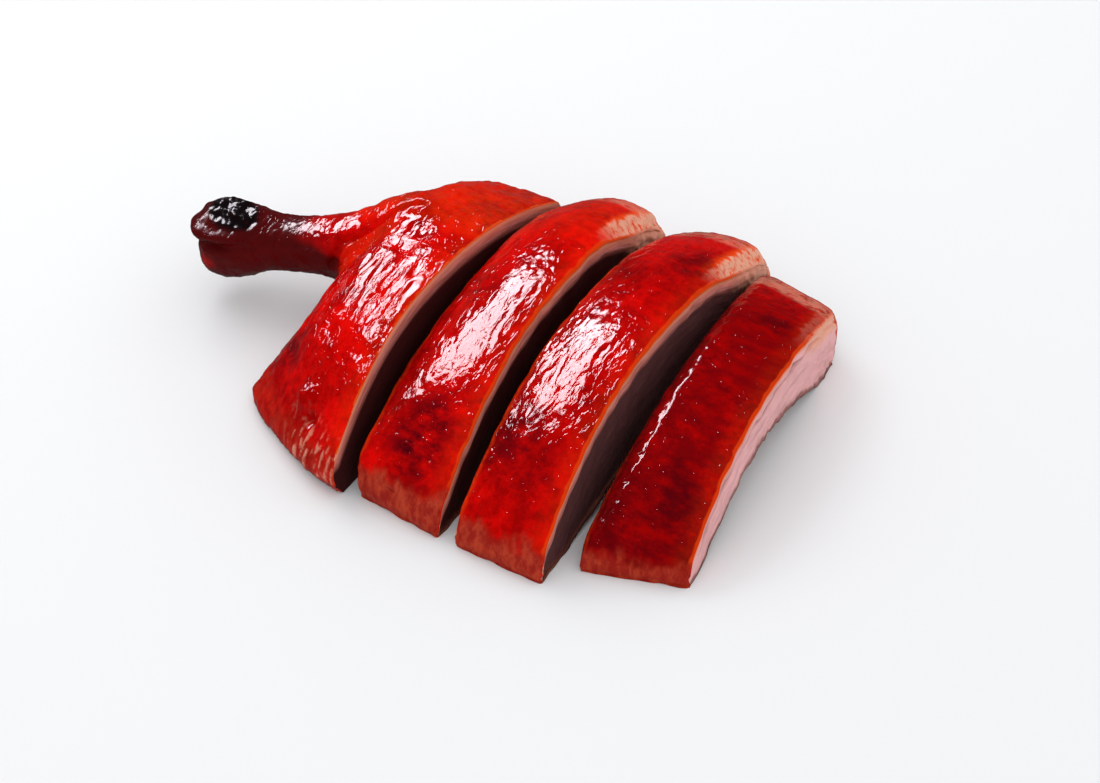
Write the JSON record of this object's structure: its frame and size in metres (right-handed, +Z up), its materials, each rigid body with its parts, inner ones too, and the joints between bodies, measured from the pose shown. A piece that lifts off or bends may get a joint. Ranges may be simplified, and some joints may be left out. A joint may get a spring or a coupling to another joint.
{
  "type": "sliced roast duck leg",
  "caption": "Roast duck leg with its bare shank, carved crosswise into thick slices that lie close together and keep the leg's shape; lacquered skin side up.",
  "frame": {"origin": "under the middle of the whole leg's box, on the surface that it rests on", "axes": "+X along the leg, from the bare shank to the last slice; +Y across the leg, along the slices; +Z up, out of the skin"},
  "size_m": [0.1784, 0.1312, 0.0394],
  "materials": {
    "roast_meat": "deep red, sticky and glossy like lacquer; the cut sides are matte pink-brown meat"
  },
  "bodies": {
    "root": {"leg_slice": "roast_meat", "second_slice": "roast_meat", "third_slice": "roast_meat", "end_slice": "roast_meat"}
  },
  "joints": []
}
